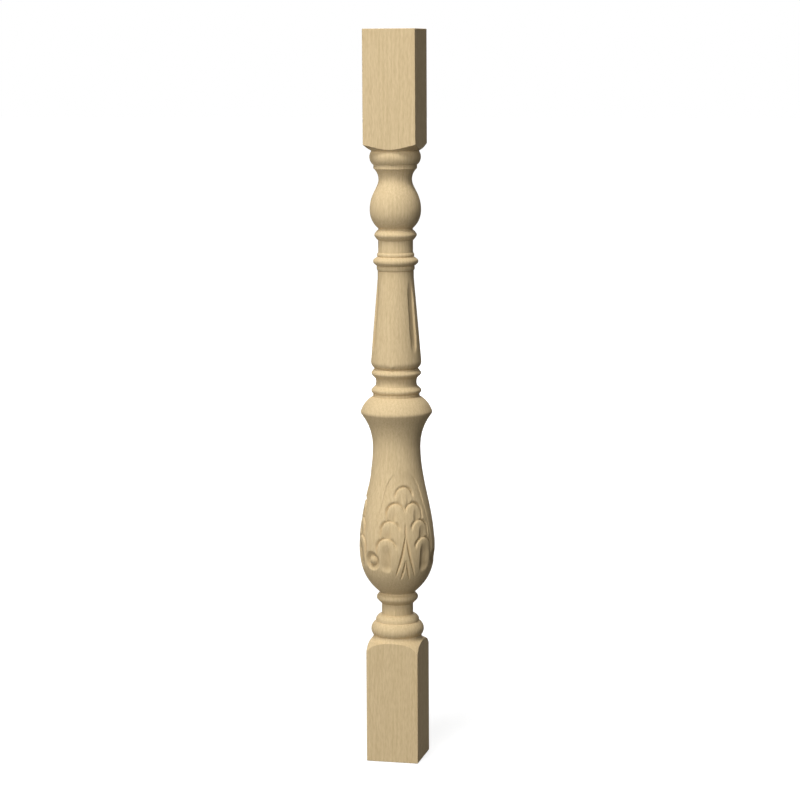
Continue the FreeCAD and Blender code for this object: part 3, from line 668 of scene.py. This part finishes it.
def bare_wood():
    """Pale hardwood: growth rings about a far pith, long fibres, fine pores, and cuts a little darker the
    deeper they go, as painted shade in the hollows and the darker cross grain.
    """
    wood = bpy.data.materials.new("bare_wood")
    wood.use_nodes = True
    tree = wood.node_tree
    surface = tree.nodes["Principled BSDF"]

    def node(kind, **settings):
        made = tree.nodes.new(kind)
        for name, value in settings.items():
            setattr(made, name, value)
        return made

    def feed(socket, value):
        if isinstance(value, bpy.types.NodeSocket):
            tree.links.new(value, socket)
        else:
            socket.default_value = value

    def stretched_noise(across, along, detail):
        """Noise drawn out along the fibres: features per metre across them and along them."""
        stretch = node("ShaderNodeMapping")
        feed(stretch.inputs["Vector"], place.outputs["Object"])
        feed(stretch.inputs["Scale"], (across, across, along))
        noise = node("ShaderNodeTexNoise")
        feed(noise.inputs["Vector"], stretch.outputs["Vector"])
        feed(noise.inputs["Scale"], 1.0)
        feed(noise.inputs["Detail"], detail)
        return noise.outputs["Fac"]

    def spread(value, low, high, to_low, to_high):
        scale = node("ShaderNodeMapRange", interpolation_type="SMOOTHSTEP")
        for name, amount in zip(("Value", "From Min", "From Max", "To Min", "To Max"),
                                (value, low, high, to_low, to_high)):
            feed(scale.inputs[name], amount)
        return scale.outputs["Result"]

    def sum_of(first, second, operation="ADD"):
        add = node("ShaderNodeMath", operation=operation)
        feed(add.inputs[0], first)
        feed(add.inputs[1], second)
        return add.outputs["Value"]

    def mixed(share, first, second, blend="MIX"):
        mix = node("ShaderNodeMix", data_type="RGBA", blend_type=blend)
        feed(mix.inputs["Factor"], share)
        feed(mix.inputs["A"], first)
        feed(mix.inputs["B"], second)
        return mix.outputs["Result"]

    place = node("ShaderNodeTexCoord")
    log = node("ShaderNodeMapping")
    feed(log.inputs["Vector"], place.outputs["Object"])
    feed(log.inputs["Location"], PITH_OFFSET)
    feed(log.inputs["Rotation"], LOG_TILT)
    growth = node("ShaderNodeTexWave", wave_type="RINGS", rings_direction="Z", wave_profile="SIN")
    feed(growth.inputs["Vector"], log.outputs["Vector"])
    feed(growth.inputs["Scale"], 70.0)
    feed(growth.inputs["Distortion"], 3.0)
    feed(growth.inputs["Detail"], 2.0)
    feed(growth.inputs["Detail Scale"], 0.25)

    streaks = stretched_noise(across=480.0, along=22.0, detail=4.0)
    fibres = stretched_noise(across=900.0, along=130.0, detail=3.0)
    pores = spread(stretched_noise(across=2300.0, along=110.0, detail=1.0), 0.60, 0.74, 0.0, 1.0)
    shade = stretched_noise(across=14.0, along=2.0, detail=2.0)

    carved = node("ShaderNodeAttribute", attribute_name="cut_depth")
    cut = spread(carved.outputs["Fac"], 0.3, 2.4, 0.0, 1.0)

    ring_share = spread(growth.outputs["Fac"], 0.2, 1.0, 0.15, 0.45)
    grain = sum_of(ring_share, spread(streaks, 0.3, 0.7, -0.28, 0.43))
    colour = mixed(grain, linear(*EARLY_WOOD), linear(*LATE_WOOD))
    colour = mixed(spread(shade, 0.3, 0.7, 0.0, 0.2), colour, linear(*SHADED_WOOD))
    colour = mixed(spread(fibres, 0.35, 0.7, 0.0, 0.3), colour, linear(*FIBRE_BROWN))
    colour = mixed(sum_of(pores, 0.2, "MULTIPLY"), colour, linear(*PORE_BROWN))
    # Painted shade: the deeper a cut, the darker its colour, standing for shade in the hollows along with the
    # cuts' darker cross grain.
    colour = mixed(sum_of(cut, 0.24, "MULTIPLY"), colour, linear(*CUT_GRAIN_AND_SHADE))
    feed(surface.inputs["Base Color"], colour)

    roughness = sum_of(spread(fibres, 0.3, 0.7, 0.66, 0.78), sum_of(cut, 0.12, "MULTIPLY"))
    feed(surface.inputs["Roughness"], roughness)
    feed(surface.inputs["Specular IOR Level"], 0.08)
    relief_height = sum_of(sum_of(fibres, streaks), sum_of(pores, 0.8, "MULTIPLY"), "SUBTRACT")
    bump = node("ShaderNodeBump")
    feed(bump.inputs["Strength"], 0.35)
    feed(bump.inputs["Distance"], 0.12 * mm)
    feed(bump.inputs["Height"], relief_height)
    feed(surface.inputs["Normal"], bump.outputs["Normal"])
    return wood


baluster = bpy.data.objects.new("carved_baluster", baluster_mesh())
bpy.context.scene.collection.objects.link(baluster)
baluster.data.materials.append(bare_wood())
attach(baluster, "root")
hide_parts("baluster")

# The floor.
# A plain white studio floor, level with the foot's underside, that runs out to white and keeps the shadow.
FLOOR_HALF = 30.0
FLOOR_SHADE = 0.34
FLOOR_BOUNCE = 0.09
FLOOR_GLOW_NEAR = 0.8
FLOOR_GLOW_FAR = 1.0
FLOOR_GLOW_REACH = 2.5

floor_mesh = bpy.data.meshes.new("studio_floor")
floor_mesh.from_pydata([(x * FLOOR_HALF, y * FLOOR_HALF, 0) for x, y in ((-1, -1), (1, -1), (1, 1), (-1, 1))],
                       [], [(0, 1, 2, 3)])
floor = bpy.data.objects.new("studio_floor", floor_mesh)
bpy.context.scene.collection.objects.link(floor)


def seen_by_camera(tree):
    """1 where a ray from the camera, a reflection or a refraction looks, and 0 for light that bounces."""
    path = tree.nodes.new("ShaderNodeLightPath")
    total = path.outputs["Is Camera Ray"]
    for name in ("Is Glossy Ray", "Is Transmission Ray"):
        either = tree.nodes.new("ShaderNodeMath")
        either.operation = "MAXIMUM"
        tree.links.new(total, either.inputs[0])
        tree.links.new(path.outputs[name], either.inputs[1])
        total = either.outputs["Value"]
    return total


def white_floor():
    """White to the camera except in shadow, and dull to the light that bounces from it."""
    paint = bpy.data.materials.new("white_floor")
    paint.use_nodes = True
    tree = paint.node_tree
    tree.nodes.clear()
    output = tree.nodes.new("ShaderNodeOutputMaterial")
    shown = seen_by_camera(tree)
    tone = tree.nodes.new("ShaderNodeMapRange")
    tone.inputs["To Min"].default_value = FLOOR_BOUNCE
    tone.inputs["To Max"].default_value = FLOOR_SHADE
    tree.links.new(shown, tone.inputs["Value"])
    matte = tree.nodes.new("ShaderNodeBsdfDiffuse")
    tree.links.new(tone.outputs["Result"], matte.inputs["Color"])
    place = tree.nodes.new("ShaderNodeTexCoord")
    away = tree.nodes.new("ShaderNodeVectorMath")
    away.operation = "LENGTH"
    tree.links.new(place.outputs["Object"], away.inputs[0])
    lift = tree.nodes.new("ShaderNodeMapRange")
    lift.interpolation_type = "SMOOTHSTEP"
    lift.inputs["From Max"].default_value = FLOOR_GLOW_REACH
    lift.inputs["To Min"].default_value = FLOOR_GLOW_NEAR
    lift.inputs["To Max"].default_value = FLOOR_GLOW_FAR
    tree.links.new(away.outputs["Value"], lift.inputs["Value"])
    strength = tree.nodes.new("ShaderNodeMath")
    strength.operation = "MULTIPLY"
    tree.links.new(lift.outputs["Result"], strength.inputs[0])
    tree.links.new(shown, strength.inputs[1])
    glow = tree.nodes.new("ShaderNodeEmission")
    tree.links.new(strength.outputs["Value"], glow.inputs["Strength"])
    both = tree.nodes.new("ShaderNodeAddShader")
    tree.links.new(matte.outputs["BSDF"], both.inputs[0])
    tree.links.new(glow.outputs["Emission"], both.inputs[1])
    tree.links.new(both.outputs["Shader"], output.inputs["Surface"])
    return paint


floor.data.materials.append(white_floor())

# The light.
# A large soft lamp overhead and one low in front, both just left of the front face, a faint one at the left,
# a weaker one behind for the back, and a dim even light from all round that is a little stronger from above.
EVEN_LIGHT_LOW = 0.03
EVEN_LIGHT_HIGH = 0.22


def soft_lamp(name, azimuth, elevation, distance, size, power):
    """Round lamp that looks at the middle of the baluster, with angles in degrees from the front."""
    turn, lift = math.radians(azimuth), math.radians(elevation)
    outward = Vector((math.sin(turn) * math.cos(lift), -math.cos(turn) * math.cos(lift), math.sin(lift)))
    lamp = bpy.data.objects.new(name, bpy.data.lights.new(name, "AREA"))
    lamp.data.shape = "DISK"
    lamp.data.size = size
    lamp.data.energy = power
    lamp.location = Vector((0, 0, z_top / 2)) + outward * distance
    lamp.rotation_euler = outward.to_track_quat("Z", "Y").to_euler()
    lamp.visible_camera = False
    bpy.context.scene.collection.objects.link(lamp)


soft_lamp("overhead_lamp", azimuth=-8.0, elevation=62.0, distance=4.8, size=1.9, power=166.0)
soft_lamp("front_lamp", azimuth=-11.0, elevation=14.0, distance=4.5, size=1.6, power=99.0)
soft_lamp("left_lamp", azimuth=-80.0, elevation=12.0, distance=4.5, size=1.6, power=12.0)
soft_lamp("back_lamp", azimuth=195.0, elevation=14.0, distance=4.5, size=1.2, power=75.0)

world = bpy.data.worlds.new("white_studio")
bpy.context.scene.world = world
world.use_nodes = True
sky = world.node_tree.nodes["Background"]
sky.inputs["Color"].default_value = (1, 1, 1, 1)
direction = world.node_tree.nodes.new("ShaderNodeTexCoord")
height = world.node_tree.nodes.new("ShaderNodeSeparateXYZ")
world.node_tree.links.new(direction.outputs["Generated"], height.inputs["Vector"])
even_light = world.node_tree.nodes.new("ShaderNodeMapRange")
even_light.inputs["From Min"].default_value = -1.0
even_light.inputs["To Min"].default_value = EVEN_LIGHT_LOW
even_light.inputs["To Max"].default_value = EVEN_LIGHT_HIGH
world.node_tree.links.new(height.outputs["Z"], even_light.inputs["Value"])
brightness = world.node_tree.nodes.new("ShaderNodeMapRange")
brightness.inputs["To Max"].default_value = 1.0
world.node_tree.links.new(seen_by_camera(world.node_tree), brightness.inputs["Value"])
world.node_tree.links.new(even_light.outputs["Result"], brightness.inputs["To Min"])
world.node_tree.links.new(brightness.outputs["Result"], sky.inputs["Strength"])
bpy.context.scene.view_settings.view_transform = "Standard"

# The camera.
# It stands to the right of the front face at about the baluster's own height and looks slightly down.
CAMERA_AZIMUTH = 13.21
CAMERA_DISTANCE = 3.0
CAMERA_HEIGHT = 0.87
CAMERA_PITCH = 7.985
CAMERA_YAW = 0.083
CAMERA_ROLL = -0.295
CAMERA_LENS = 111.06
CAMERA_SENSOR = 36.0

azimuth, pitch = math.radians(CAMERA_AZIMUTH), math.radians(CAMERA_PITCH)
yaw, roll = math.radians(CAMERA_YAW), math.radians(CAMERA_ROLL)
rightward = Vector((math.cos(azimuth), math.sin(azimuth), 0))
toward = Vector((math.sin(azimuth), -math.cos(azimuth), 0))
downward = -toward * math.cos(pitch) - Vector((0, 0, math.sin(pitch)))
forward = downward * math.cos(yaw) + rightward * math.sin(yaw)
level_side = forward.cross(Vector((0, 0, 1))).normalized()
level_up = level_side.cross(forward)
side = level_side * math.cos(roll) + level_up * math.sin(roll)
up = level_up * math.cos(roll) - level_side * math.sin(roll)
camera = bpy.data.objects.new("camera", bpy.data.cameras.new("camera"))
camera.data.sensor_width = CAMERA_SENSOR
camera.data.lens = CAMERA_LENS
camera.matrix_world = Matrix.Translation(toward * CAMERA_DISTANCE + Vector((0, 0, CAMERA_HEIGHT))) @ Matrix(
    (side, up, -forward)).transposed().to_4x4()
bpy.context.scene.collection.objects.link(camera)
bpy.context.scene.camera = camera
